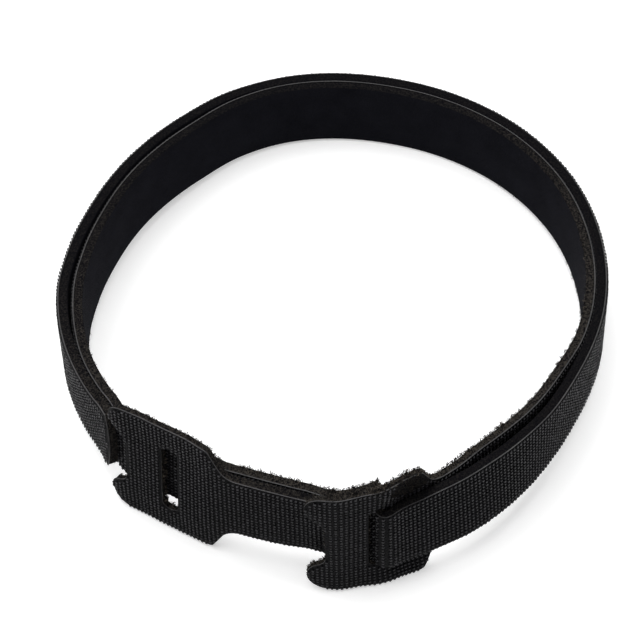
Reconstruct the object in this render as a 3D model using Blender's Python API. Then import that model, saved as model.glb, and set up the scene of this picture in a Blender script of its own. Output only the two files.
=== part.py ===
# Two hook and loop cable ties, threaded one through the other and closed as a double loop.
# Metres, +Z up. Each tie is cut flat from hook and loop tape and then bent round the loop.
# The loop stands on edge: on the lower edges of the two heads in front and of the tape behind.

import bpy
import bmesh
import numpy as np
from math import acos, asin, cos, pi, radians, sin, sqrt, tan
from mathutils import Matrix, Vector, geometry

# Tape: hooks on the outer face, loop pile on the inner face, laminated back to back
TAPE_WIDTH = 0.012
TAPE_THICKNESS = 0.0011

# Head of a tie: wider than the tape, with a slot for the next tie and two ears at its free end.
# Its shoulders slope down to the tape at an angle in degrees.
HEAD_HEIGHT = 0.0224
HEAD_LENGTH = 0.0170
HEAD_CORNER_RADIUS = 0.0008
EAR_RADIUS = 0.0030
NOTCH_DEPTH = 0.0028
NOTCH_FILLET = 0.0024
SHOULDER_SLOPE = 64.0
SHOULDER_RADIUS = 0.0030
SLOT_FROM_FREE_END = 0.0102
SLOT_SIDE_PLAY = 0.0005
SLOT_END_PLAY = 0.0007
SLOT_CORNER_RADIUS = 0.0012
TAIL_BULGE = 0.0010
TAIL_TO_EARS_GAP = 0.0004

# The slot takes the tape on the slant, which needs about twice its thickness
SLOT_WIDTH = 2 * TAPE_THICKNESS + SLOT_SIDE_PLAY
SLOT_HEIGHT = TAPE_WIDTH + 2 * SLOT_END_PLAY

# Loop, seen from above: angles in degrees from +X, counter-clockwise, with the front at -90
LOOP_RADIUS = 0.0404
LAYER_PLAY = 0.0006
OUTER_HEAD_ANGLE = -127.4
CROSSING_ANGLE = -83.5
FULL_TURN = 360.0

# From the middle of one layer to the middle of the next where they lie together
LAYER_PITCH = TAPE_THICKNESS + LAYER_PLAY

# Hand-bent shape of the outer layer: angle, and how far it bulges beyond the loop radius
LOOP_BULGES = (
    (-141, 0.0011), (-133, -0.0002), (-123, -0.0009), (-116, -0.0006), (-110, -0.0008),
    (-98, -0.0003), (-90, 0.0011), (-84, 0.0013), (-79, 0.0009), (-74, 0.0012), (-68, 0.0011),
    (-57, 0.0003), (-45, -0.0005), (-28, -0.0012), (-10, -0.0008), (8, -0.0004), (30, 0.0002),
    (50, 0.0004), (72, 0.0004), (95, 0.0007), (112, 0.0003), (125, -0.0006), (140, -0.0011),
    (155, -0.0013), (170, -0.0007), (182, 0.0001), (200, 0.0004), (213, 0.0004),
)

# Slack between the two layers: angle along the inner tie, from its head round to its tail
INNER_SLACK = (
    (-98, -0.0013), (-92, -0.0008), (-85, 0.0), (-75, 0.0), (-66, 0.0005), (-56, 0.0011),
    (-44, 0.0009), (-30, 0.0005), (-18, 0.0), (74, 0.0), (100, 0.0), (126, 0.0005),
    (150, 0.0004), (180, 0.0006), (190, 0.0004), (205, 0.0), (284, 0.0),
)

# Lean of the tape: angle, and how much further out its lower edge is than its upper edge
TAPE_LEAN = (
    (-150, 0.0), (-140, 0.0007), (-124, 0.0010), (-116, 0.0004), (-104, 0.0002), (-92, -0.0005),
    (-84, 0.0), (-76, 0.0009), (-62, 0.0013), (-52, 0.0009), (-38, 0.0001), (-20, 0.0),
)

# The tape that lies over the inner tie's head presses it in, and the head's edges stand out
HEAD_FLARE = 0.0008
HEAD_FLARE_RUN = 0.0020

# Where the tape passes from behind a head to its front it turns steeply, inside the slot,
# while the head itself crosses over the tape gently and a little past its slot
THREADING_RUN = 0.28 * SLOT_WIDTH
HEAD_CROSSING_RUN = 0.005
HEAD_CROSSING_SHIFT = 0.003
TAIL_TUCK_RUN = 0.004
TAIL_TUCK_SHIFT = -0.002

# Fineness of the bent faces
ANGLE_STEP = 0.05
TAPE_STEP = 0.003
HEAD_STEP = 0.0010
THREADING_STEP = 0.0004
THREADING_REACH = 0.0072
ARC_STEPS = 8
HEAD_CREASES = 4
MERGE_DISTANCE = 0.000001

TAPE_COLOR = (0.012, 0.012, 0.014, 1.0)
TAPE_ROUGHNESS = 0.9


def start_empty():
    for old in list(bpy.data.objects):
        bpy.data.objects.remove(old, do_unlink=True)


def arc(center, radius, start, end):
    """Points along a circular arc, from one angle to another in radians."""
    return [
        (center[0] + radius * cos(a), center[1] + radius * sin(a))
        for a in np.linspace(start, end, ARC_STEPS + 1)
    ]


def upper_outline(length):
    """Upper half of a tie's outline, from the notch at its free end to the tip of its tail."""
    half_head = HEAD_HEIGHT / 2
    half_tape = TAPE_WIDTH / 2
    ear_center = (EAR_RADIUS, half_head - EAR_RADIUS)
    ear_to_fillet = EAR_RADIUS + NOTCH_FILLET
    rise = sqrt(ear_to_fillet ** 2 - (ear_to_fillet - NOTCH_DEPTH) ** 2)
    fillet_center = (NOTCH_DEPTH - NOTCH_FILLET, ear_center[1] - rise)
    meeting = acos((ear_to_fillet - NOTCH_DEPTH) / ear_to_fillet)
    slope = radians(SHOULDER_SLOPE)
    corner_center = (HEAD_LENGTH - HEAD_CORNER_RADIUS * tan(slope / 2), half_head - HEAD_CORNER_RADIUS)
    shoulder_foot = HEAD_LENGTH + (half_head - half_tape) / tan(slope) + SHOULDER_RADIUS * tan(slope / 2)
    shoulder_center = (shoulder_foot, half_tape + SHOULDER_RADIUS)
    tail_radius = (half_tape ** 2 + TAIL_BULGE ** 2) / (2 * TAIL_BULGE)
    tail_center = (length - tail_radius, 0)
    points = arc(fillet_center, NOTCH_FILLET, 0, meeting)
    points += arc(ear_center, EAR_RADIUS, pi + meeting, pi / 2)[1:]
    points += arc(corner_center, HEAD_CORNER_RADIUS, pi / 2, pi / 2 - slope)
    points += arc(shoulder_center, SHOULDER_RADIUS, 1.5 * pi - slope, 1.5 * pi)
    points += arc(tail_center, tail_radius, asin(half_tape / tail_radius), 0)[:-1]
    return points


def slot_outline():
    """Rounded slot across the head."""
    across = SLOT_WIDTH / 2 - SLOT_CORNER_RADIUS
    up = SLOT_HEIGHT / 2 - SLOT_CORNER_RADIUS
    points = []
    for quarter, (x, y) in enumerate(((across, up), (-across, up), (-across, -up), (across, -up))):
        center = (SLOT_FROM_FREE_END + x, y)
        points += arc(center, SLOT_CORNER_RADIUS, quarter * pi / 2, (quarter + 1) * pi / 2)
    return points


def add_outline(curve, points):
    spline = curve.splines.new("POLY")
    spline.points.add(len(points) - 1)
    for point, (x, y) in zip(spline.points, points):
        point.co = (x, y, 0, 1)
    spline.use_cyclic_u = True


def flat_tie(length):
    """A tie as it is cut from the tape: X along it, Y across it, Z through its thickness."""
    curve = bpy.data.curves.new("tie_outline", "CURVE")
    curve.dimensions = "2D"
    curve.fill_mode = "BOTH"
    curve.extrude = TAPE_THICKNESS / 2
    upper = upper_outline(length)
    lower = [(x, -y) for x, y in reversed(upper)]
    add_outline(curve, upper + lower)
    add_outline(curve, slot_outline())
    drawn = bpy.data.objects.new("tie_outline", curve)
    bpy.context.scene.collection.objects.link(drawn)
    bpy.context.view_layer.update()
    evaluated = drawn.evaluated_get(bpy.context.evaluated_depsgraph_get())
    mesh = bpy.data.meshes.new_from_object(evaluated)
    bpy.data.objects.remove(drawn, do_unlink=True)
    solid = bmesh.new()
    solid.from_mesh(mesh)
    bpy.data.meshes.remove(mesh)
    bmesh.ops.remove_doubles(solid, verts=solid.verts, dist=MERGE_DISTANCE)
    bmesh.ops.dissolve_limit(
        solid, angle_limit=radians(1), verts=solid.verts, edges=solid.edges, use_dissolve_boundaries=False
    )
    bmesh.ops.recalc_face_normals(solid, faces=solid.faces)
    return solid


def crease(solid, place, across):
    """A crease line through the flat tie, so that it can bend there."""
    bmesh.ops.bisect_plane(
        solid,
        geom=solid.verts[:] + solid.edges[:] + solid.faces[:],
        dist=MERGE_DISTANCE,
        plane_co=place,
        plane_no=across,
    )


def smooth_through(points, angles):
    """Smooth curve through hand-placed points that goes no further out or in between them."""
    at, value = np.array(points, float).T
    step = np.diff(value) / np.diff(at)
    same_way = step[:-1] * step[1:] > 0
    slope = np.zeros(len(at))
    slope[1:-1][same_way] = 2 / (1 / step[:-1][same_way] + 1 / step[1:][same_way])
    angles = np.clip(angles, at[0], at[-1])
    i = np.clip(np.searchsorted(at, angles) - 1, 0, len(at) - 2)
    span = at[i + 1] - at[i]
    t = (angles - at[i]) / span
    return (
        value[i] * (1 + 2 * t) * (1 - t) ** 2
        + slope[i] * span * t * (1 - t) ** 2
        + value[i + 1] * t * t * (3 - 2 * t)
        - slope[i + 1] * span * t * t * (1 - t)
    )


def around_the_loop(points, angles):
    """The same for a closed list of points, which repeats after a full turn."""
    turns = [(a + turn, v) for turn in (-FULL_TURN, 0, FULL_TURN) for a, v in points]
    first = points[0][0]
    return smooth_through(turns, (angles - first) % FULL_TURN + first)


def layer_radius(angles):
    """The outer layer's line before the threading bends it."""
    return LOOP_RADIUS + around_the_loop(LOOP_BULGES, angles)


def past(angles, place):
    """Distance along the loop from a place on it."""
    return np.radians(angles - place) * LOOP_RADIUS


def head_crossing(angles):
    """From -1 in front of the other tie to 1 behind it, for the inner tie's head."""
    return np.tanh((past(angles, CROSSING_ANGLE) - HEAD_CROSSING_SHIFT) / HEAD_CROSSING_RUN)


def outer_tie_radius(angles):
    threading = np.tanh(past(angles, CROSSING_ANGLE) / THREADING_RUN)
    slack = smooth_through(INNER_SLACK, angles) * np.exp(-(past(angles, CROSSING_ANGLE) / 0.004) ** 2)
    return layer_radius(angles) - slack + LAYER_PITCH * (threading - head_crossing(angles))


def inner_tie_radius(angles):
    tuck = past(angles, CROSSING_ANGLE + FULL_TURN) - TAIL_TUCK_SHIFT
    tail_behind_head = (1 + np.tanh(tuck / TAIL_TUCK_RUN)) / 2
    layers_in = head_crossing(angles) + tail_behind_head
    return layer_radius(angles) - LAYER_PITCH * layers_in - smooth_through(INNER_SLACK, angles)


class Route:
    """A tie's way round the loop, measured along its middle from the slot in its head."""

    def __init__(self, radius, slot_angle, flare):
        self.flare = flare
        self.angles = slot_angle + np.arange(-30, FULL_TURN + 30, ANGLE_STEP)
        turned = np.radians(self.angles)
        radii = radius(self.angles)
        self.x = radii * np.cos(turned)
        self.y = radii * np.sin(turned)
        steps = np.hypot(np.diff(self.x), np.diff(self.y))
        self.s = np.concatenate([[0], np.cumsum(steps)])
        self.s -= np.interp(slot_angle, self.angles, self.s)
        along_x = np.gradient(self.x, self.s)
        along_y = np.gradient(self.y, self.s)
        size = np.hypot(along_x, along_y)
        self.out_x = along_y / size
        self.out_y = -along_x / size

    def distance(self, angle):
        return float(np.interp(angle, self.angles, self.s))

    def angle(self, distance):
        return float(np.interp(distance, self.s, self.angles))

    def place(self, along, across, out):
        """Where a point of the flat tie goes when it is bent round the loop."""
        s = along - SLOT_FROM_FREE_END
        at = np.interp(s, self.s, self.angles)
        half_tape = TAPE_WIDTH / 2
        lean = around_the_loop(TAPE_LEAN, at)
        out = out - lean * np.clip(across, -half_tape, half_tape) / TAPE_WIDTH
        beyond = np.clip((abs(across) - half_tape) / (HEAD_HEIGHT / 2 - half_tape), 0, 1)
        out = out + self.flare(at) * beyond * beyond * (3 - 2 * beyond)
        x = np.interp(s, self.s, self.x) + out * np.interp(s, self.s, self.out_x)
        y = np.interp(s, self.s, self.y) + out * np.interp(s, self.s, self.out_y)
        return np.stack([x, y, across], axis=-1)


def no_flare(angles):
    return 0.0 * angles


def inner_head_flare(angles):
    return HEAD_FLARE * (1 + np.tanh(past(angles, CROSSING_ANGLE) / HEAD_FLARE_RUN)) / 2


def tie_length(outer_route):
    """The outer tie goes once round, until its tail comes up to the ears of its own head."""
    free_end = outer_route.angle(-SLOT_FROM_FREE_END)
    return outer_route.distance(free_end + FULL_TURN) - TAIL_TO_EARS_GAP + SLOT_FROM_FREE_END


def stations_along(route, length):
    """Crease lines: even along the whole tie, and closer where it is threaded."""
    even = np.linspace(0, length, round(length / TAPE_STEP) + 1)[1:-1]
    threading = route.distance(CROSSING_ANGLE) + SLOT_FROM_FREE_END
    step = HEAD_STEP if threading < HEAD_LENGTH else THREADING_STEP
    near = np.arange(-THREADING_REACH, THREADING_REACH, step) + threading
    away = even[np.abs(even - threading) > THREADING_REACH + step]
    return np.concatenate([away, near])


def bent_tie(name, route, length):
    """One tie as a closed solid, bent round the loop."""
    solid = flat_tie(length)
    for station in stations_along(route, length):
        crease(solid, (station, 0, 0), (1, 0, 0))
    for height in np.linspace(TAPE_WIDTH / 2, HEAD_HEIGHT / 2, HEAD_CREASES + 1)[:-1]:
        crease(solid, (0, height, 0), (0, 1, 0))
        crease(solid, (0, -height, 0), (0, 1, 0))
    flat = np.array([v.co[:] for v in solid.verts])
    bent = route.place(flat[:, 0], flat[:, 1], flat[:, 2])
    for vertex, place in zip(solid.verts, bent):
        vertex.co = place
    mesh = bpy.data.meshes.new(name)
    solid.to_mesh(mesh)
    solid.free()
    mesh.shade_smooth()
    mesh.set_sharp_from_angle(angle=radians(35))
    return bpy.data.objects.new(name, mesh)


def tape_material(name):
    material = bpy.data.materials.new(name)
    material.use_nodes = True
    shader = material.node_tree.nodes["Principled BSDF"]
    shader.inputs["Base Color"].default_value = TAPE_COLOR
    shader.inputs["Roughness"].default_value = TAPE_ROUGHNESS
    shader.inputs["Metallic"].default_value = 0.0
    return material


def center_of_mass(parts):
    """Centre of the solids, from the tetrahedra under their faces."""
    total = 0.0
    moment = Vector((0, 0, 0))
    for part in parts:
        part.data.calc_loop_triangles()
        for triangle in part.data.loop_triangles:
            a, b, c = (part.data.vertices[i].co for i in triangle.vertices)
            volume = a.dot(b.cross(c)) / 6
            total += volume
            moment += volume * (a + b + c) / 4
    return moment / total


def resting_turn(parts):
    """The turn that lays the loop on the face of its hull that its weight rests on."""
    center = center_of_mass(parts)
    hull = bmesh.new()
    for part in parts:
        for vertex in part.data.vertices:
            hull.verts.new(vertex.co)
    bmesh.ops.convex_hull(hull, input=hull.verts)
    hull.normal_update()
    down = Vector((0, 0, -1))
    faces = [f for f in hull.faces if len(f.verts) == 3 and f.normal.z < -0.9]
    held = [f for f in faces if geometry.intersect_point_tri(center, *(v.co for v in f.verts))]
    base = min(held, key=lambda f: f.normal.angle(down))
    turn = base.normal.rotation_difference(down).to_matrix().to_4x4()
    hull.free()
    return turn


def stand_up(parts):
    """Rest the loop on the ground plane, with the middle of its box over the origin."""
    turn = resting_turn(parts)
    for part in parts:
        part.data.transform(turn)
    corners = np.array([v.co[:] for part in parts for v in part.data.vertices])
    low = corners.min(axis=0)
    high = corners.max(axis=0)
    shift = Matrix.Translation((-(low[0] + high[0]) / 2, -(low[1] + high[1]) / 2, -low[2]))
    for part in parts:
        part.data.transform(shift)
    return shift @ turn


def build():
    start_empty()
    collection = bpy.data.collections.new("hook_and_loop_cable_tie")
    bpy.context.scene.collection.children.link(collection)
    outer_route = Route(outer_tie_radius, OUTER_HEAD_ANGLE, no_flare)
    inner_route = Route(inner_tie_radius, CROSSING_ANGLE, inner_head_flare)
    length = tie_length(outer_route)
    parts = [
        bent_tie("outer_tie", outer_route, length),
        bent_tie("inner_tie", inner_route, length),
    ]
    for part in parts:
        part.data.materials.append(tape_material(part.name + "_tape"))
        collection.objects.link(part)
    stand_up(parts)
    return parts


build()
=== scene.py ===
from math import acos, asin, cos, pi, radians, sin, sqrt, tan

import bmesh
import bpy
import numpy as np
from mathutils import Matrix, Vector


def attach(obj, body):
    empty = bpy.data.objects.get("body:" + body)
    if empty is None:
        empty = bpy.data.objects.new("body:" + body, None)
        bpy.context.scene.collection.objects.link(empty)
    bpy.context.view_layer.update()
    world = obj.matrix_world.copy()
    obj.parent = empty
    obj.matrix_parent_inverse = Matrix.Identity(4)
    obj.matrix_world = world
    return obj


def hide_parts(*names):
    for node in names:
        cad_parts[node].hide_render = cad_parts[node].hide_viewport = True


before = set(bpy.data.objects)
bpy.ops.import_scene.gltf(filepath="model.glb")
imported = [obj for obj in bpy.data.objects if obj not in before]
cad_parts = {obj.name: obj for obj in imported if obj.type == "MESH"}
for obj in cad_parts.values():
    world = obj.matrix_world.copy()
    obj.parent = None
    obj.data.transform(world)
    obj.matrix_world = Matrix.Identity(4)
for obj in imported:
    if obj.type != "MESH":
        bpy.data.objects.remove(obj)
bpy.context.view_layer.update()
print("packed ties loaded")

# The tape and the shape a tie is cut to, in metres
tape = {
    "width": 0.012,
    "thickness": 0.0011,
    "threads apart": 0.00066,
    "hook sheet": 0.00020,
    "hook sheet rounding": 0.00005,
    "pile inset": 0.00007,
    "pile stand": 0.00042,  # how far the pile stands inwards of the woven tape
    "pile overlap": 0.00004,
    "pile rounding": 0.00024,
    "pressed": 0.85,  # share of the stand that is pressed flat where the tape is threaded
    "pressed on head": 0.36,  # share of the whole pile that is flattened on the heads
    "head press run": 0.003,
    "layer play": 0.0006,
}
head = {
    "height": 0.0224,
    "length": 0.0170,
    "corner radius": 0.0008,
    "ear radius": 0.0030,
    "notch depth": 0.0028,
    "notch fillet": 0.0024,
    "shoulder slope": radians(64),
    "shoulder radius": 0.0030,
    "slot from free end": 0.0102,
    "slot width": 0.0027,
    "slot height": 0.0134,
    "slot corner": 0.0012,
}
tail = {"bulge": 0.0010, "gap to ears": 0.0004}

# How the two ties go round, seen from above: degrees from +X, front at -90
loop = {
    "radius": 0.0404,
    "outer head": -127.4,
    "crossing": -83.5,
    "threading run": 0.28 * head["slot width"],
    "head run": 0.005,
    "head shift": 0.003,
    "tail run": 0.004,
    "tail shift": -0.002,
    "flare": 0.0008,
    "flare run": 0.0020,
    "bulges": (
        (-141, 0.0011), (-133, -0.0002), (-123, -0.0009), (-116, -0.0006), (-110, -0.0008),
        (-98, -0.0003), (-90, 0.0011), (-84, 0.0013), (-79, 0.0009), (-74, 0.0012), (-68, 0.0011),
        (-57, 0.0003), (-45, -0.0005), (-28, -0.0012), (-10, -0.0008), (8, -0.0004), (30, 0.0002),
        (50, 0.0004), (72, 0.0004), (95, 0.0007), (112, 0.0003), (125, -0.0006), (140, -0.0011),
        (155, -0.0013), (170, -0.0007), (182, 0.0001), (200, 0.0004), (213, 0.0004),
    ),
    "slack": (
        (-98, -0.0013), (-92, -0.0008), (-85, 0.0), (-75, 0.0), (-66, 0.0005), (-56, 0.0011),
        (-44, 0.0009), (-30, 0.0005), (-18, 0.0), (74, 0.0), (100, 0.0), (126, 0.0005),
        (150, 0.0004), (180, 0.0006), (190, 0.0004), (205, 0.0), (284, 0.0),
    ),
    "outer slack run": 0.004,  # the outer tie shares the slack only this near the crossing
    "lean": (
        (-150, 0.0), (-140, 0.0007), (-124, 0.0010), (-116, 0.0004), (-104, 0.0002),
        (-92, -0.0005), (-84, 0.0), (-76, 0.0009), (-62, 0.0013), (-52, 0.0009), (-38, 0.0001),
        (-20, 0.0),
    ),
}
millimetres = 1000
pitch = tape["thickness"] + tape["layer play"]
hookFace = tape["thickness"] / 2
seam = hookFace - tape["hook sheet"]
pileFace = -hookFace - tape["pile stand"]

# The loop rests on the edges of both heads and on the tape behind, which tips it forward
standing = {"foot": (0.019690, 0.064861, -0.997700), "shift": (0.000308, 0.001340, 0.008789)}

arcSteps = 10
cornerSteps = 5


def arcPoints(center, radius, start, end, steps=arcSteps):
    turns = np.linspace(start, end, steps + 1)
    return [(center[0] + radius * cos(a), center[1] + radius * sin(a)) for a in turns]


# The cut edge of a tie, moved inwards by the inset
def tieOutline(length, inset=0.0):
    halfHead = head["height"] / 2
    halfTape = tape["width"] / 2
    ear, fillet, depth = head["ear radius"], head["notch fillet"], head["notch depth"]
    corner, shoulder, slope = head["corner radius"], head["shoulder radius"], head["shoulder slope"]
    tailRadius = (halfTape**2 + tail["bulge"] ** 2) / (2 * tail["bulge"])
    rise = sqrt((ear + fillet) ** 2 - (ear + fillet - depth) ** 2)
    meeting = acos((ear + fillet - depth) / (ear + fillet))
    filletAt = (depth - fillet, halfHead - ear - rise)
    earAt = (ear, halfHead - ear)
    cornerAt = (head["length"] - corner * tan(slope / 2), halfHead - corner)
    foot = head["length"] + (halfHead - halfTape) / tan(slope) + shoulder * tan(slope / 2)
    shoulderAt = (foot, halfTape + shoulder)
    tailEdge = asin((halfTape - inset) / (tailRadius - inset))
    upper = arcPoints(filletAt, fillet + inset, 0, meeting)
    upper += arcPoints(earAt, ear - inset, pi + meeting, pi / 2)[1:]
    upper += arcPoints(cornerAt, corner - inset, pi / 2, pi / 2 - slope, cornerSteps)
    upper += arcPoints(shoulderAt, shoulder + inset, 1.5 * pi - slope, 1.5 * pi)
    upper += arcPoints((length - tailRadius, 0), tailRadius - inset, tailEdge, 0)[:-1]
    return upper + [(x, -y) for x, y in reversed(upper)]


# The cut edge of the slot, which an inset makes wider
def slotOutline(inset=0.0):
    corner = head["slot corner"]
    across = head["slot width"] / 2 - corner
    up = head["slot height"] / 2 - corner
    points = []
    for quarter, (x, y) in enumerate(((across, up), (-across, up), (-across, -up), (across, -up))):
        center = (head["slot from free end"] + x, y)
        turn = quarter * pi / 2
        points += arcPoints(center, corner + inset, turn, turn + pi / 2, cornerSteps)
    return points


# A smooth line through the points that doesn't swing past any of them
def smoothThrough(points, angles):
    at, value = np.array(points, float).T
    step = np.diff(value) / np.diff(at)
    sameWay = step[:-1] * step[1:] > 0
    slope = np.zeros(len(at))
    slope[1:-1][sameWay] = 2 / (1 / step[:-1][sameWay] + 1 / step[1:][sameWay])
    angles = np.clip(angles, at[0], at[-1])
    i = np.clip(np.searchsorted(at, angles) - 1, 0, len(at) - 2)
    span = at[i + 1] - at[i]
    t = (angles - at[i]) / span
    return (
        value[i] * (1 + 2 * t) * (1 - t) ** 2
        + slope[i] * span * t * (1 - t) ** 2
        + value[i + 1] * t * t * (3 - 2 * t)
        - slope[i + 1] * span * t * t * (1 - t)
    )


# The same for points that go once round, so that the line closes
def aroundTheLoop(points, angles):
    turns = [(a + turn, v) for turn in (-360, 0, 360) for a, v in points]
    first = points[0][0]
    return smoothThrough(turns, (angles - first) % 360 + first)


# 1 in the middle, falling away on both sides
def hump(distance, run):
    return np.exp(-((distance / run) ** 2))


# How far along the loop an angle lies past a place
def past(angles, place):
    return np.radians(angles - place) * loop["radius"]


# From -1 to 1 where the inner tie's head comes out over the outer tie's strap
def headCrossing(angles):
    return np.tanh((past(angles, loop["crossing"]) - loop["head shift"]) / loop["head run"])


def outerRadius(angles):
    beyond = past(angles, loop["crossing"])
    slack = smoothThrough(loop["slack"], angles) * hump(beyond, loop["outer slack run"])
    layer = loop["radius"] + aroundTheLoop(loop["bulges"], angles)
    return layer - slack + pitch * (np.tanh(beyond / loop["threading run"]) - headCrossing(angles))


def innerRadius(angles):
    tuck = past(angles, loop["crossing"] + 360) - loop["tail shift"]
    layersIn = headCrossing(angles) + (1 + np.tanh(tuck / loop["tail run"])) / 2
    layer = loop["radius"] + aroundTheLoop(loop["bulges"], angles)
    return layer - pitch * layersIn - smoothThrough(loop["slack"], angles)


def outerFlare(angles):
    return 0.0 * angles


def innerFlare(angles):
    beyond = past(angles, loop["crossing"])
    return loop["flare"] * (1 + np.tanh(beyond / loop["flare run"])) / 2


degreesPastSlot = np.arange(-30, 390, 0.05)  # from ahead of the free end to beyond the tail


# A tie's way round the loop. Flat points of the tie go to their place on it
class Way:
    def __init__(self, radius, slotAngle, flare, wear):
        self.flare = flare
        self.wear = wear
        self.angles = slotAngle + degreesPastSlot
        turned = np.radians(self.angles)
        radii = radius(self.angles)
        self.x = radii * np.cos(turned)
        self.y = radii * np.sin(turned)
        self.s = np.concatenate([[0], np.cumsum(np.hypot(np.diff(self.x), np.diff(self.y)))])
        self.s -= np.interp(slotAngle, self.angles, self.s)
        alongX = np.gradient(self.x, self.s)
        alongY = np.gradient(self.y, self.s)
        size = np.hypot(alongX, alongY)
        self.outX = alongY / size
        self.outY = -alongX / size

    def distance(self, angle):
        return float(np.interp(angle, self.angles, self.s)) + head["slot from free end"]

    # Flat points (along, across, out) on the standing loop
    def place(self, flat):
        along, across, out = np.asarray(flat, float).T
        s = along - head["slot from free end"]
        at = np.interp(s, self.s, self.angles)
        half = tape["width"] / 2
        lean = aroundTheLoop(loop["lean"], at) * np.clip(across, -half, half) / tape["width"]
        beyond = np.clip((abs(across) - half) / (head["height"] / 2 - half), 0, 1)
        out = out - lean + self.flare(at) * beyond * beyond * (3 - 2 * beyond)
        x = np.interp(s, self.s, self.x) + out * np.interp(s, self.s, self.outX)
        y = np.interp(s, self.s, self.y) + out * np.interp(s, self.s, self.outY)
        spots = np.stack([x, y, across], axis=-1)
        return spots @ np.array(tilt).T + np.array(standing["shift"])

    # Flat headings, as they point after the bending
    def direction(self, flat, heading):
        reach = 0.00005
        moved = self.place(np.asarray(flat, float) + reach * np.asarray(heading, float))
        arrow = moved - self.place(flat)
        return arrow / np.linalg.norm(arrow, axis=1, keepdims=True)


tilt = Vector(standing["foot"]).rotation_difference(Vector((0, 0, -1))).to_matrix()
# How far from the threading the pile is pressed, and how and where in degrees the edges fray
# The outer tie frays less, so its pile rim is darker and less fuzzy: partly less fuzz, partly
# painted shade for the shade between the two layers
outerWearAndShade = {"pressed run": 0.006, "most frayed": 1.05, "frayed at": -127.0, "frayed over": 40.0}
innerWear = {"pressed run": 0.045, "most frayed": 1.45, "frayed at": -72.0, "frayed over": 100.0}
leastFrayed = 0.40
outerWay = Way(outerRadius, loop["outer head"], outerFlare, outerWearAndShade)
innerWay = Way(innerRadius, loop["crossing"], innerFlare, innerWear)
freeEnd = float(np.interp(-head["slot from free end"], outerWay.s, outerWay.angles))
tieLength = outerWay.distance(freeEnd + 360) - tail["gap to ears"]
print("tie length", round(tieLength, 5))


# Adds a node with its settings, and with its inputs by number or by name
def addNode(tree, kind, inputs=None, **settings):
    made = tree.nodes.new(kind)
    for name, value in settings.items():
        setattr(made, name, value)
    for key, value in (inputs or {}).items():
        named = [s for s in made.inputs if s.enabled and s.name == key]
        socket = named[0] if named else made.inputs[key]
        if isinstance(value, bpy.types.NodeSocket):
            tree.links.new(value, socket)
        else:
            socket.default_value = value
    return made


def addMath(tree, operation, *values, **settings):
    inputs = dict(enumerate(values))
    return addNode(tree, "ShaderNodeMath", inputs, operation=operation, **settings).outputs[0]


# A material and short ways to wire it
class Finish:
    def __init__(self, name, **shaderValues):
        self.material = bpy.data.materials.new(name)
        self.material.use_nodes = True
        self.tree = self.material.node_tree
        self.shader = self.tree.nodes["Principled BSDF"]
        for socket, value in shaderValues.items():
            self.shader.inputs[socket.replace("_", " ")].default_value = value

    def node(self, kind, inputs=None, **settings):
        return addNode(self.tree, kind, inputs, **settings)

    # Along and across the tape in millimetres
    def flatPlace(self):
        return self.node("ShaderNodeUVMap", uv_map="tapeMillimetres").outputs["UV"]

    def objectPlace(self):
        return self.node("ShaderNodeTexCoord").outputs["Object"]

    # A value that the mesh carries: how frayed its rim is, or the tone of a planted piece
    def carried(self, label):
        return self.node("ShaderNodeAttribute", attribute_name=label).outputs["Fac"]

    def noise(self, vector, scale, detail=3.0, roughness=0.6):
        values = {"Vector": vector, "Scale": scale, "Detail": detail, "Roughness": roughness}
        return self.node("ShaderNodeTexNoise", values).outputs["Fac"]

    def between(self, factor, low, high):
        ramp = self.node("ShaderNodeMapRange", {"Value": factor, "To Min": low, "To Max": high})
        return ramp.outputs["Result"]

    def times(self, one, other, clamp=False):
        return addMath(self.tree, "MULTIPLY", one, other, use_clamp=clamp)

    def power(self, value, exponent):
        return addMath(self.tree, "POWER", value, exponent)

    def wire(self, output, name):
        self.tree.links.new(output, self.shader.inputs[name])

    def colour(self, factor, darkAndLight):
        dark, light = darkAndLight
        values = {"Factor": factor, "A": (*dark, 1), "B": (*light, 1)}
        mix = self.node("ShaderNodeMix", values, data_type="RGBA")
        self.wire(next(s for s in mix.outputs if s.enabled), "Base Color")

    def bump(self, height, distance, strength):
        values = {"Height": height, "Distance": distance, "Strength": strength}
        self.wire(self.node("ShaderNodeBump", values).outputs["Normal"], "Normal")


# The darkest and the lightest colour of each finish
tones = {
    "hook tape": ((0.0012, 0.0012, 0.0016), (0.0042, 0.0041, 0.0049)),
    "cut edge": ((0.0070, 0.0071, 0.0082), (0.084, 0.081, 0.080)),
    "pile": ((0.0030, 0.0031, 0.0046), (0.0150, 0.0152, 0.0205)),
    "frayed rim": ((0.0020, 0.0020, 0.0030), (0.036, 0.032, 0.028)),
    "moulded hook": ((0.0030, 0.0029, 0.0035), (0.0160, 0.0156, 0.0182)),
    "yarn": ((0.0034, 0.0033, 0.0041), (0.095, 0.082, 0.068)),
}


# Height of a plain weave whose threads are the given millimetres apart
def threads(finish, spot, apart):
    split = finish.node("ShaderNodeSeparateXYZ", {"Vector": spot})
    turns = [finish.times(split.outputs[axis], 2 * pi / apart) for axis in ("X", "Y")]
    return finish.times(*[addMath(finish.tree, "SINE", turn) for turn in turns])


def hookTapeFinish(name):
    made = Finish(name, Roughness=0.6, Specular_IOR_Level=0.04)
    spot = made.flatPlace()
    apart = tape["threads apart"] * millimetres
    weave = made.between(threads(made, spot, apart), low=0.0, high=1.0)
    mottle = made.noise(spot, scale=1.3, detail=4.0)
    made.colour(made.times(weave, mottle), tones["hook tape"])
    made.bump(weave, distance=0.00006, strength=0.6)
    return made.material


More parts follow.
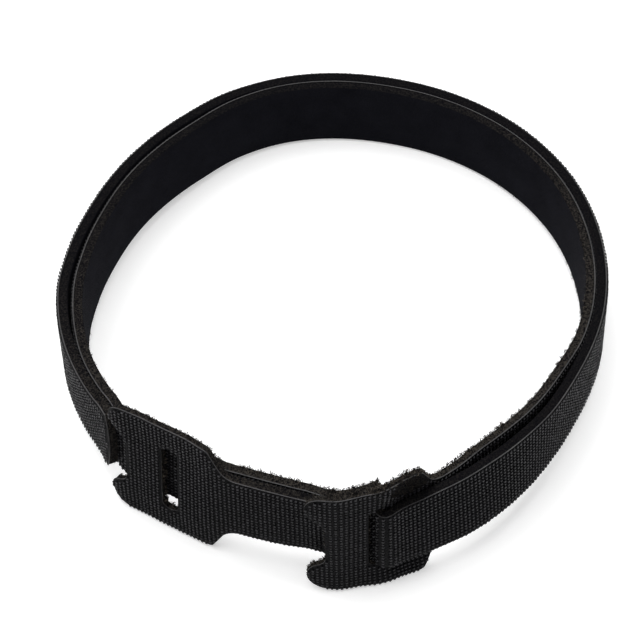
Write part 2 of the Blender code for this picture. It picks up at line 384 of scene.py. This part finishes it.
def cutEdgeFinish(name):
    made = Finish(name, Roughness=0.5, Specular_IOR_Level=0.25)
    spot = made.flatPlace()
    streaks = made.noise(spot, scale=2.2, detail=5.0, roughness=0.7)
    worn = made.between(made.noise(spot, scale=0.16, detail=2.0), low=-0.2, high=1.3)
    dashes = made.between(streaks, low=-0.9, high=1.9)
    made.colour(made.times(dashes, worn, clamp=True), tones["cut edge"])
    made.bump(streaks, distance=0.00005, strength=0.5)
    return made.material


def pileFinish(name):
    made = Finish(name, Roughness=1.0, Specular_IOR_Level=0.04)
    spot = made.flatPlace()
    nap = made.noise(spot, scale=3.5, detail=6.0, roughness=0.75)
    brushed = made.noise(spot, scale=0.22, detail=3.0, roughness=0.5)
    made.colour(made.times(nap, brushed), tones["pile"])
    made.bump(nap, distance=0.00012, strength=0.7)
    return made.material


def frayedRimFinish(name):
    made = Finish(name, Roughness=1.0, Specular_IOR_Level=0.05)
    fluff = made.noise(made.objectPlace(), scale=3600.0, detail=3.0, roughness=0.7)
    lint = made.between(fluff, low=-2.6, high=3.4)
    # Lighter where more frayed; the outer tie's low fraying also paints shade on its rim
    mostlyFrayed = made.power(made.carried("frayed"), 2.0)
    made.colour(made.times(lint, mostlyFrayed, clamp=True), tones["frayed rim"])
    made.bump(fluff, distance=0.00025, strength=0.9)
    return made.material


def mouldedHookFinish(name):
    made = Finish(name, Roughness=0.45, Specular_IOR_Level=0.14)
    made.colour(made.carried("pieceTone"), tones["moulded hook"])
    return made.material


def brushedYarnFinish(name):
    made = Finish(name, Roughness=0.9, Specular_IOR_Level=0.08)
    made.colour(made.power(made.carried("pieceTone"), 3.0), tones["yarn"])
    return made.material


tapeFinishes = (
    hookTapeFinish("hookTapeBlack"),
    cutEdgeFinish("cutEdgeGrey"),
    pileFinish("brushedPileBlack"),
    frayedRimFinish("frayedRim"),
)
hookFinish = mouldedHookFinish("mouldedNylonBlack")
yarnFinish = brushedYarnFinish("brushedYarn")

# The two layers of a tie: where they lie in the tape, and which of the finishes above they have
tapeLayers = (
    {
        "inset": 0.0,
        "low": seam,
        "high": hookFace,
        "rounding": tape["hook sheet rounding"],
        "face finish": 0,
        "edge finish": 1,
    },
    {
        "inset": tape["pile inset"],
        "low": pileFace,
        "high": seam + tape["pile overlap"],
        "rounding": tape["pile rounding"],
        "face finish": 2,
        "edge finish": 3,
    },
)
# The creases along which a flat layer bends, closer together where it is threaded
creases = {
    "apart": 0.0012,
    "near threading": 0.0072,
    "apart near threading": 0.0003,
    "apart on threaded head": 0.0006,
    "off the others": 1e-5,  # so that no two creases fall together
    "up each ear": 5,
}
weldDistance = 1e-6


def linked(name, data):
    made = bpy.data.objects.new(name, data)
    bpy.context.scene.collection.objects.link(made)
    return made


def evaluatedMesh(drawn):
    bpy.context.view_layer.update()
    ready = drawn.evaluated_get(bpy.context.evaluated_depsgraph_get())
    return bpy.data.meshes.new_from_object(ready)


def curveFromOutlines(outlines, thickness):
    curve = bpy.data.curves.new("cut", "CURVE")
    curve.dimensions = "2D"
    curve.fill_mode = "BOTH"
    curve.extrude = thickness / 2
    for outline in outlines:
        spline = curve.splines.new("POLY")
        spline.points.add(len(outline) - 1)
        for point, (x, y) in zip(spline.points, outline):
            point.co = (x, y, 0, 1)
        spline.use_cyclic_u = True
    return curve


# One flat layer of a tie as a closed solid between two depths in the tape
def cutLayer(inset, low, high):
    outlines = [tieOutline(tieLength, inset), slotOutline(inset)]
    drawn = linked("cut", curveFromOutlines(outlines, high - low))
    mesh = evaluatedMesh(drawn)
    layer = bmesh.new()
    layer.from_mesh(mesh)
    bpy.data.objects.remove(drawn, do_unlink=True)
    bpy.data.meshes.remove(mesh)
    bmesh.ops.remove_doubles(layer, verts=layer.verts, dist=weldDistance)
    flatWithin = radians(1)
    bmesh.ops.dissolve_limit(layer, angle_limit=flatWithin, verts=layer.verts, edges=layer.edges)
    bmesh.ops.recalc_face_normals(layer, faces=layer.faces)
    bmesh.ops.translate(layer, verts=layer.verts, vec=(0, 0, (low + high) / 2))
    return layer


def creaseAt(layer, point, across):
    whole = layer.verts[:] + layer.edges[:] + layer.faces[:]
    bmesh.ops.bisect_plane(layer, geom=whole, dist=weldDistance, plane_co=point, plane_no=across)


def creaseLayer(layer, way):
    threading = way.distance(loop["crossing"])
    onHead = threading < head["length"]
    fine = creases["apart on threaded head"] if onHead else creases["apart near threading"]
    near = creases["near threading"]
    closeUp = np.arange(threading - near, threading + near, fine) + creases["off the others"]
    stations = set(np.round(np.arange(creases["apart"], tieLength, creases["apart"]), 6))
    stations |= set(np.round(closeUp, 6))
    for station in sorted(stations):
        creaseAt(layer, (station, 0, 0), (1, 0, 0))
    ears = np.linspace(tape["width"] / 2, head["height"] / 2, creases["up each ear"] + 1)
    for height in ears[:-1]:
        creaseAt(layer, (0, height, 0), (0, 1, 0))
        creaseAt(layer, (0, -height, 0), (0, 1, 0))


# Rounds the corners between the faces of a layer and its cut edges
def roundCutEdges(layer, rounding):
    layer.normal_update()
    corners = []
    for edge in layer.edges:
        if len(edge.link_faces) == 2 and edge.calc_face_angle() > radians(60):
            one, other = (abs(face.normal.z) for face in edge.link_faces)
            if abs(one - other) > 0.5:  # one looks in or out of the loop, the other along it
                corners.append(edge)
    shape = {"segments": 2, "profile": 0.6, "affect": "EDGES"}
    bmesh.ops.bevel(layer, geom=corners, offset=rounding, **shape)
    layer.normal_update()


# Gives each face its finish, and its place on the flat tape for the patterns to follow
def finishLayer(layer, faceFinish, edgeFinish):
    flatMap = layer.loops.layers.uv.new("tapeMillimetres")
    for face in layer.faces:
        face.smooth = True
        onEdge = abs(face.normal.z) < 0.8  # the rounding has the cut edge's finish too
        face.material_index = edgeFinish if onEdge else faceFinish
        for corner in face.loops:
            x, y, z = corner.vert.co * millimetres
            corner[flatMap].uv = (x, y + (z if onEdge else 0))


# The pile stands up freely, except on the heads and where the tape goes through the slot
def pressPile(way, flat):
    along, run = flat[:, 0], tape["head press run"]
    stand = np.clip(-hookFace - flat[:, 2], 0, None)
    near = hump(along - way.distance(loop["crossing"]), way.wear["pressed run"])
    depth = np.clip(seam - flat[:, 2], 0, None)
    onHead = (1 - np.tanh((along - head["length"] - run) / run)) / 2
    pressed = flat.copy()
    threaded = stand * tape["pressed"] * near
    pressed[:, 2] += np.maximum(threaded, depth * tape["pressed on head"] * onHead)
    return pressed


# How far the edges have frayed: most where the ties are handled, least across from there. On the
# outer tie the low fraying also paints shade on its rim.
def fraying(way, along):
    angles = np.interp(along - head["slot from free end"], way.s, way.angles)
    beside = (angles - way.wear["frayed at"] + 180) % 360 - 180
    nearness = hump(beside, way.wear["frayed over"])
    return leastFrayed + (way.wear["most frayed"] - leastFrayed) * nearness


def bendLayer(layer, way):
    flat = pressPile(way, np.array([v.co[:] for v in layer.verts]))
    frayed = layer.verts.layers.float.new("frayed")
    for vertex, spot, amount in zip(layer.verts, way.place(flat), fraying(way, flat[:, 0])):
        vertex.co = spot
        vertex[frayed] = amount


# Hook tape outside and loop tape inside, as one piece with its cut edges showing
def makeTape(name, way):
    whole = bmesh.new()
    for kind in tapeLayers:
        layer = cutLayer(kind["inset"], kind["low"], kind["high"])
        creaseLayer(layer, way)
        roundCutEdges(layer, kind["rounding"])
        finishLayer(layer, kind["face finish"], kind["edge finish"])
        bendLayer(layer, way)
        part = bpy.data.meshes.new(name)
        layer.to_mesh(part)
        whole.from_mesh(part)
        bpy.data.meshes.remove(part)
        layer.free()
    mesh = bpy.data.meshes.new(name)
    whole.to_mesh(mesh)
    whole.free()
    mesh.set_sharp_from_angle(angle=radians(40))
    for finish in tapeFinishes:
        mesh.materials.append(finish)
    return linked(name, mesh)


# Which flat points lie inside a closed outline
def insideOutline(points, outline):
    x, y = np.asarray(points, float).T
    inside = np.zeros(len(x), bool)
    corners = np.array(outline)
    for (x0, y0), (x1, y1) in zip(corners, np.roll(corners, -1, axis=0)):
        if y0 == y1:
            continue
        crosses = (y0 > y) != (y1 > y)
        inside ^= crosses & (x < x0 + (y - y0) * (x1 - x0) / (y1 - y0))
    return inside


def onTie(points, margin):
    within = insideOutline(points, tieOutline(tieLength, margin))
    return within & ~insideOutline(points, slotOutline(margin))


# Bare points that carry the way each repeated piece stands and faces, and its size
def pointCloud(name, spots, pointing, alongside, sizes):
    mesh = bpy.data.meshes.new(name)
    mesh.from_pydata([tuple(s) for s in spots], [], [])
    for label, values in (("pointing", pointing), ("alongside", alongside)):
        held = mesh.attributes.new(label, "FLOAT_VECTOR", "POINT")
        held.data.foreach_set("vector", np.asarray(values, np.float32).ravel())
    held = mesh.attributes.new("pieceSize", "FLOAT", "POINT")
    held.data.foreach_set("value", np.asarray(sizes, np.float32))
    return linked(name, mesh)


plantingInputs = {
    "Points": "Geometry",
    "Piece": "Object",
    "Smallest": "Float",
    "Largest": "Float",
    "Turn either way": "Float",
    "Tilt either way": "Float",
    "Seed": "Int",
    "Finish": "Material",
}
largestForTone = 1.1  # a larger piece gets no lighter tone


# Stands one small piece on every point, each with its own size, turn and tone
def plantingNodes():
    group = bpy.data.node_groups.new("planting", "GeometryNodeTree")
    for label, kind in plantingInputs.items():
        group.interface.new_socket(label, in_out="INPUT", socket_type="NodeSocket" + kind)
    group.interface.new_socket("Planted", in_out="OUTPUT", socket_type="NodeSocketGeometry")

    def node(kind, inputs=None, **settings):
        return addNode(group, kind, inputs, **settings)

    def onPoint(label, kind):
        return node("GeometryNodeInputNamedAttribute", {"Name": label}, data_type=kind).outputs[0]

    def chance(low, high, seedShift):
        seed = addMath(group, "ADD", given["Seed"], seedShift)
        values = {"Min": low, "Max": high, "Seed": seed}
        return node("FunctionNodeRandomValue", values, data_type="FLOAT").outputs[1]

    def eitherWay(label, seedShift):
        back = addMath(group, "MULTIPLY", given[label], -1.0)
        return chance(back, given[label], seedShift)

    given = node("NodeGroupInput").outputs
    ownSize = onPoint("pieceSize", "FLOAT")
    axes = {
        "Primary Axis": onPoint("pointing", "FLOAT_VECTOR"),
        "Secondary Axis": onPoint("alongside", "FLOAT_VECTOR"),
    }
    stand = node("FunctionNodeAxesToRotation", axes, primary_axis="Z", secondary_axis="X")
    turns = {
        "X": eitherWay("Tilt either way", 1.0),
        "Y": eitherWay("Tilt either way", 2.0),
        "Z": eitherWay("Turn either way", 3.0),
    }
    turn = node("ShaderNodeCombineXYZ", turns)
    both = {"Rotation": stand.outputs[0], "Rotate By": turn.outputs[0]}
    facing = node("FunctionNodeRotateRotation", both, rotation_space="LOCAL")
    piece = node("GeometryNodeObjectInfo", {"Object": given["Piece"]})
    spread = chance(given["Smallest"], given["Largest"], 4.0)
    parts = {
        "Points": given["Points"],
        "Instance": piece.outputs["Geometry"],
        "Rotation": facing.outputs[0],
        "Scale": addMath(group, "MULTIPLY", spread, ownSize),
    }
    planted = node("GeometryNodeInstanceOnPoints", parts)
    sizeForTone = addMath(group, "MINIMUM", ownSize, largestForTone)
    tone = addMath(group, "MULTIPLY", chance(0.0, 1.0, 5.0), sizeForTone)
    marks = {"Geometry": planted.outputs[0], "Name": "pieceTone", "Value": tone}
    toned = node("GeometryNodeStoreNamedAttribute", marks, data_type="FLOAT", domain="INSTANCE")
    solid = node("GeometryNodeRealizeInstances", {"Geometry": toned.outputs[0]})
    last = {"Geometry": solid.outputs[0], "Material": given["Finish"]}
    finished = node("GeometryNodeSetMaterial", last)
    node("NodeGroupOutput", {0: finished.outputs[0]})
    return group


planting = plantingNodes()


# Runs the planting nodes on bare points and keeps the result as a plain mesh
def plant(name, points, piece, finish, habit):
    values = {
        "Piece": piece,
        "Smallest": habit["smallest"],
        "Largest": habit["largest"],
        "Turn either way": habit["turn"],
        "Tilt either way": habit["tilt"],
        "Seed": habit["seed"],
        "Finish": finish,
    }
    modifier = points.modifiers.new("planting", "NODES")
    modifier.node_group = planting
    for item in planting.interface.items_tree:
        if item.in_out == "INPUT" and item.name in values:
            modifier[item.identifier] = values[item.name]
    mesh = evaluatedMesh(points)
    mesh.name = name
    bpy.data.objects.remove(points, do_unlink=True)
    return linked(name, mesh)


squareBar = ((1, 1), (1, -1), (-1, -1), (-1, 1))
roundYarn = ((1, 0), (-0.5, 0.87), (-0.5, -0.87))


# A thin closed bar with the given section that follows a path in the XZ plane
def barAlong(name, path, section, halfWide, halfThick):
    path = np.array(path, float)
    ahead = np.gradient(path, axis=0)
    ahead /= np.linalg.norm(ahead, axis=1, keepdims=True)
    across = np.stack([-ahead[:, 1], ahead[:, 0]], axis=-1)
    rings = []
    for (x, z), (dx, dz), wide, thick in zip(path, across, halfWide, halfThick):
        rings += [(x + dx * thick * a, wide * b, z + dz * thick * a) for a, b in section]
    sides = len(section)
    last = sides * (len(path) - 1)
    faces = [tuple(range(sides)), tuple(range(last, last + sides))]
    for start in range(0, last, sides):
        for k in range(sides):
            a, b = start + k, start + (k + 1) % sides
            faces.append((a, b, b + sides, a + sides))
    mesh = bpy.data.meshes.new(name)
    mesh.from_pydata(rings, [], faces)
    closed = bmesh.new()
    closed.from_mesh(mesh)
    bmesh.ops.recalc_face_normals(closed, faces=closed.faces)
    closed.to_mesh(mesh)
    closed.free()
    return linked(name, mesh)


hooks = {
    "rows apart": 0.00066,
    "hooks apart": 0.00066,
    "edge margin": 0.00024,
    "height": 0.00022,
    "reach": 0.00036,
    "width": 0.00036,
    "thickness": 0.00012,
    "root": 0.00004,
    "smallest": 0.88,
    "largest": 1.08,
    "turn": radians(7),
    "tilt": radians(5),
    "seed": 7,
}


# One hook: a short stem that bends over along the tape, in shares of its reach and height
def mouldedHook():
    up, reach = hooks["height"], hooks["reach"]
    path = [(-reach * 0.45, -hooks["root"]), (-reach * 0.25, up * 0.85), (reach * 0.5, up * 0.8)]
    wide = [hooks["width"] / 2, hooks["width"] / 2, hooks["width"] * 0.4]
    thick = [hooks["thickness"] / 2, hooks["thickness"] / 2, hooks["thickness"] * 0.35]
    return barAlong("mouldedHook", path, squareBar, wide, thick)


# The upper corner of the inner head, next to the threaded strap, is matted with dark lint that
# paints shade there: its hooks are left out and dark loops cover it where the corner lies in shade
# beside the strap. The brown fuzz along its rim is the tape's own.
shadedCornerLint = {
    "along": 0.0152,
    "across": 0.0094,
    "long": 0.0040,
    "wide": 0.0030,
    "hooks left out": 0.5,  # no hook is planted where the painted-shade lint is thicker than this
    "loops": 1800,
    "loop size": 0.75,
    "loop spread": 0.6,
    "loop margin": 0.0001,
    "loop lean": 0.6,
    "rim loops": 520,
    "rim reach": 1.5,
    "rim margin": 0.0002,
    "rim lean": (0.5, 0.4),
    "rim loop sizes": (0.6, 1.7),
}


# How thick the dark lint is that paints shade on the hook face, 1 in the middle of the matted
# corner
def paintedShadeDepth(flat, lintShade):
    x, y = np.asarray(flat, float)[:, :2].T
    along, across = (x - lintShade["along"]) / lintShade["long"], (y - lintShade["across"]) / lintShade["wide"]
    return np.exp(-(along**2 + across**2))


# Rows of hooks over the outer face, with every other row facing back
def plantHooks(name, way, lintShade, piece, finish):
    columns = np.arange(hooks["hooks apart"] / 2, tieLength, hooks["hooks apart"])
    rowCount = 2 * round(head["height"] / 2 / hooks["rows apart"])
    rows = (np.arange(rowCount) - (rowCount - 1) / 2) * hooks["rows apart"]
    grid = np.stack(np.meshgrid(columns, rows), axis=-1).reshape(-1, 2)
    facing = np.repeat(np.where(np.arange(rowCount) % 2, -1.0, 1.0), len(columns))
    kept = onTie(grid, hooks["edge margin"])
    # Hooks are left out under the matted corner, so that it shows dark as painted shade
    if lintShade:
        kept &= paintedShadeDepth(grid, lintShade) < lintShade["hooks left out"]
    grid, facing = grid[kept], facing[kept]
    flat = np.column_stack([grid, np.full(len(grid), hookFace)])
    pointing = way.direction(flat, [0, 0, 1])
    alongside = way.direction(flat, [1, 0, 0]) * facing[:, None]
    points = pointCloud(name, way.place(flat), pointing, alongside, np.ones(len(flat)))
    print(name, len(grid), "hooks")
    return plant(name, points, piece, finish, hooks)


pile = {
    "loop height": 0.00030,
    "yarn": 0.000030,
    "root": 0.00005,
    "on the face": 1500,
    "face loop size": 0.55,
    "face margin": 0.00025,
    "edge margin": 0.00018,
    "edge spacing": 0.000036,
    "tuft spacing": 0.00075,
    "tuft gather": 0.45,
    "tuft sizes": (0.55, 1.25),
    "slot fluff": 1.4,
    "lean": 0.35,
    "inwards": (-1.5, 0.1),
    "skin": 0.00003,
    "shorter at the sheet": 0.35,
    "clear of the ground": 0.0003,
    "smallest": 0.6,
    "largest": 1.3,
    "turn": pi,
    "tilt": radians(20),
    "seed": 11,
}


# One loop of yarn: an arch with both feet in the tape
def brushedLoop():
    up = pile["loop height"]
    path = [(-up * 0.42, -pile["root"]), (-up * 0.12, up), (up * 0.45, up * 0.3)]
    halfYarn = [pile["yarn"]] * len(path)
    return barAlong("brushedLoop", path, roundYarn, halfYarn, halfYarn)


# The places, headings and sizes of the loops brushed up on the inner face
def loopsOnFace(rng):
    half = head["height"] / 2
    spots = rng.uniform((0, -half), (tieLength, half), (pile["on the face"] * 3, 2))
    spots = spots[onTie(spots, pile["face margin"])][: pile["on the face"]]
    count = len(spots)
    roots = np.column_stack([spots, np.full(count, pileFace)])
    headings = np.column_stack([rng.normal(0, pile["lean"], (count, 2)), np.full(count, -1.0)])
    return roots, headings, np.full(count, pile["face loop size"])


# Tufts along a closed outline: places, the heading that leaves the tape there, and tuft sizes
def tuftsAlong(outline, rng):
    corners = np.array(outline + outline[:1])
    steps = np.diff(corners, axis=0)
    runs = np.concatenate([[0], np.cumsum(np.hypot(*steps.T))])
    tufts = np.arange(0, runs[-1], pile["tuft spacing"])
    tufts += rng.uniform(0, pile["tuft spacing"], len(tufts))
    tuftSizes = rng.uniform(*pile["tuft sizes"], len(tufts))
    member = rng.integers(0, len(tufts), int(runs[-1] / pile["edge spacing"]))
    gather = pile["tuft spacing"] * pile["tuft gather"]
    at = (tufts[member] + rng.normal(0, gather, len(member))) % runs[-1]
    x = np.interp(at, runs, corners[:, 0])
    y = np.interp(at, runs, corners[:, 1])
    k = np.clip(np.searchsorted(runs, at) - 1, 0, len(steps) - 1)
    away = np.stack([-steps[k, 1], steps[k, 0]], axis=-1)
    away /= np.linalg.norm(away, axis=1, keepdims=True)
    return np.stack([x, y], axis=-1), away, tuftSizes[member]


# The same for the loops that stick out in tufts along a cut edge, thinned where it is less frayed
def tuftsOnEdge(way, outline, fluff, rng):
    spots, away, sizes = tuftsAlong(outline, rng)
    frayed = fraying(way, spots[:, 0])
    kept = rng.random(len(spots)) < (frayed / way.wear["most frayed"]) ** 2
    spots, away, sizes = spots[kept], away[kept], (sizes * frayed)[kept]
    count = len(spots)
    across = rng.random(count) ** 1.5  # 0 at the pile's own face, 1 at the hook sheet
    roots = np.column_stack([spots, pileFace + pile["skin"] + across * (seam - pileFace)])
    inwards = rng.uniform(*pile["inwards"], count) * (1 - across)
    headings = np.column_stack([away + rng.normal(0, pile["lean"], (count, 2)), inwards])
    return roots, headings, sizes * fluff * (1 - pile["shorter at the sheet"] * across)


# The same for the dark lint on the hook face of a matted corner, which paints the shade there
def paintedShadeLint(lintShade, rng):
    middle = (lintShade["along"], lintShade["across"])
    reach = np.array((lintShade["long"], lintShade["wide"])) * lintShade["loop spread"]
    spots = rng.normal(middle, reach, (lintShade["loops"], 2))
    spots = spots[onTie(spots, lintShade["loop margin"])]
    count = len(spots)
    roots = np.column_stack([spots, np.full(count, hookFace)])
    headings = np.column_stack([rng.normal(0, lintShade["loop lean"], (count, 2)), np.ones(count)])
    return roots, headings, np.full(count, lintShade["loop size"])


# The same for the lint along the upper cut edge of a matted corner
def lintOnRim(lintShade, rng):
    count = lintShade["rim loops"]
    start = lintShade["along"] - lintShade["rim reach"] * lintShade["long"]
    along = rng.uniform(start, head["length"], count)
    rim = np.full(count, head["height"] / 2 - lintShade["rim margin"])
    roots = np.column_stack([along, rim, rng.uniform(pileFace, hookFace, count)])
    sideways, outwards = lintShade["rim lean"]
    leans = rng.normal(0, sideways, count)
    headings = np.column_stack([leans, np.ones(count), rng.normal(0, outwards, count)])
    return roots, headings, rng.uniform(*lintShade["rim loop sizes"], count)


# Loops brushed up on the inner face and sticking out in tufts all along the cut edges
def brushPile(name, way, lintShade, piece, finish):
    rng = np.random.default_rng(pile["seed"])
    patches = [
        loopsOnFace(rng),
        tuftsOnEdge(way, tieOutline(tieLength, pile["edge margin"]), 1.0, rng),
        tuftsOnEdge(way, slotOutline(pile["edge margin"]), pile["slot fluff"], rng),
    ]
    # The matted corner's dark face lint paints shade; the fuzz along its rim is the tape's own
    if lintShade:
        patches += [paintedShadeLint(lintShade, rng), lintOnRim(lintShade, rng)]
    roots, headings, sizes = (np.concatenate(part) for part in zip(*patches))
    roots = pressPile(way, roots)
    headings /= np.linalg.norm(headings, axis=1, keepdims=True)
    placed = way.place(roots)
    pointing = way.direction(roots, headings)
    lowest = placed[:, 2] + np.minimum(pointing[:, 2], 0) * pile["loop height"] * sizes
    clear = lowest > pile["clear of the ground"]
    alongside = rng.normal(0, 1, placed.shape)
    points = pointCloud(name, placed[clear], pointing[clear], alongside[clear], sizes[clear])
    print(name, int(clear.sum()), "loops")
    return plant(name, points, piece, finish, pile)


hookPiece = mouldedHook()
loopPiece = brushedLoop()
ties = {
    "outer": {"way": outerWay, "lintShade": None},
    "inner": {"way": innerWay, "lintShade": shadedCornerLint},
}
for label, tie in ties.items():
    made = [
        makeTape(label + "Tape", tie["way"]),
        plantHooks(label + "Hooks", tie["way"], tie["lintShade"], hookPiece, hookFinish),
        brushPile(label + "Pile", tie["way"], tie["lintShade"], loopPiece, yarnFinish),
    ]
    node = label + "_tie"
    for piece in made:
        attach(piece, "root")
        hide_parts(node)
bpy.data.objects.remove(hookPiece, do_unlink=True)
bpy.data.objects.remove(loopPiece, do_unlink=True)
print("ties made")


# The white sweep, the soft studio light and the camera
studio = {
    "floor half side": 3.0,
    "paper": ((0.90, 0.90, 0.90), (0.92, 0.92, 0.92)),
    "bleach": 0.36,
    "surround": 0.40,
    "lit spot": (0, 0, 0.01),
}
softboxes = {
    "overheadSoftbox": {"place": (-0.15, 0.25, 0.9), "size": 1.0, "power": 9.0},
    "leftSoftbox": {"place": (-0.85, -0.15, 0.45), "size": 0.5, "power": 1.3},
    "rightSoftbox": {"place": (0.85, -0.15, 0.45), "size": 0.5, "power": 1.8},
}
view = {
    "stand": (-0.00232, -0.25657, 0.31528),
    "down": radians(51.249),
    "roll": -0.0268,
    "lens": 152.54,
    "sensor": 36.0,
    "nearest": 0.01,
}
white = (1, 1, 1, 1)


# 1 for what the camera sees straight, in a reflection or through glass, 0 for what lights the ties
def seenByCamera(tree):
    path = tree.nodes.new("ShaderNodeLightPath")
    seen = path.outputs["Is Camera Ray"]
    for ray in ("Is Glossy Ray", "Is Transmission Ray"):
        seen = addMath(tree, "MAXIMUM", seen, path.outputs[ray])
    return seen


# The paper as a camera set for a white ground sees it: brighter, with the deepest shadows left
def bleachForCamera(paper):
    paper.wire(paper.times(seenByCamera(paper.tree), studio["bleach"]), "Emission Strength")
    paper.shader.inputs["Emission Color"].default_value = white


def layFloor():
    side = studio["floor half side"]
    corners = [(-side, -side, 0), (side, -side, 0), (side, side, 0), (-side, side, 0)]
    mesh = bpy.data.meshes.new("studioFloor")
    mesh.from_pydata(corners, [], [(0, 1, 2, 3)])
    floor = linked("studioFloor", mesh)
    paper = Finish("whitePaper", Roughness=0.9, Specular_IOR_Level=0.1)
    grain = paper.noise(paper.objectPlace(), scale=40.0, detail=2.0)
    paper.colour(grain, studio["paper"])
    bleachForCamera(paper)
    mesh.materials.append(paper.material)


def hangSoftbox(name, place, size, power):
    light = bpy.data.lights.new(name, "AREA")
    light.shape = "DISK"
    light.size = size
    light.energy = power
    lamp = linked(name, light)
    lamp.location = place
    towards = Vector(studio["lit spot"]) - Vector(place)
    lamp.rotation_euler = towards.to_track_quat("-Z", "Y").to_euler()


# A white world to look at, and a dimmer one that lights the ties
def whiteSurround():
    world = bpy.data.worlds.new("whiteSurround")
    bpy.context.scene.world = world
    world.use_nodes = True
    tree = world.node_tree
    tree.nodes.clear()
    seen = addNode(tree, "ShaderNodeBackground", {"Color": white})
    lit = addNode(tree, "ShaderNodeBackground", {"Color": white, "Strength": studio["surround"]})
    sides = {0: seenByCamera(tree), 1: lit.outputs[0], 2: seen.outputs[0]}
    chosen = addNode(tree, "ShaderNodeMixShader", sides)
    addNode(tree, "ShaderNodeOutputWorld", {"Surface": chosen.outputs[0]})


# The photo's own viewpoint, fitted to the loop as it lies square to its axis
def setCamera():
    ahead = Vector((0, cos(view["down"]), -sin(view["down"])))
    upright = Vector((0, sin(view["down"]), cos(view["down"])))
    side = Vector((1, 0, 0))
    right = side * cos(view["roll"]) + upright * sin(view["roll"])
    top = upright * cos(view["roll"]) - side * sin(view["roll"])
    turned = tilt @ Matrix((right, top, -ahead)).transposed()
    data = bpy.data.cameras.new("photoCamera")
    data.lens = view["lens"]
    data.sensor_width = view["sensor"]
    data.clip_start = view["nearest"]
    camera = linked("photoCamera", data)
    spot = tilt @ Vector(view["stand"]) + Vector(standing["shift"])
    camera.matrix_world = Matrix.Translation(spot) @ turned.to_4x4()
    bpy.context.scene.camera = camera


layFloor()
whiteSurround()
for name, softbox in softboxes.items():
    hangSoftbox(name, **softbox)
setCamera()
scene = bpy.context.scene
scene.view_settings.view_transform = "Standard"
print("studio ready")
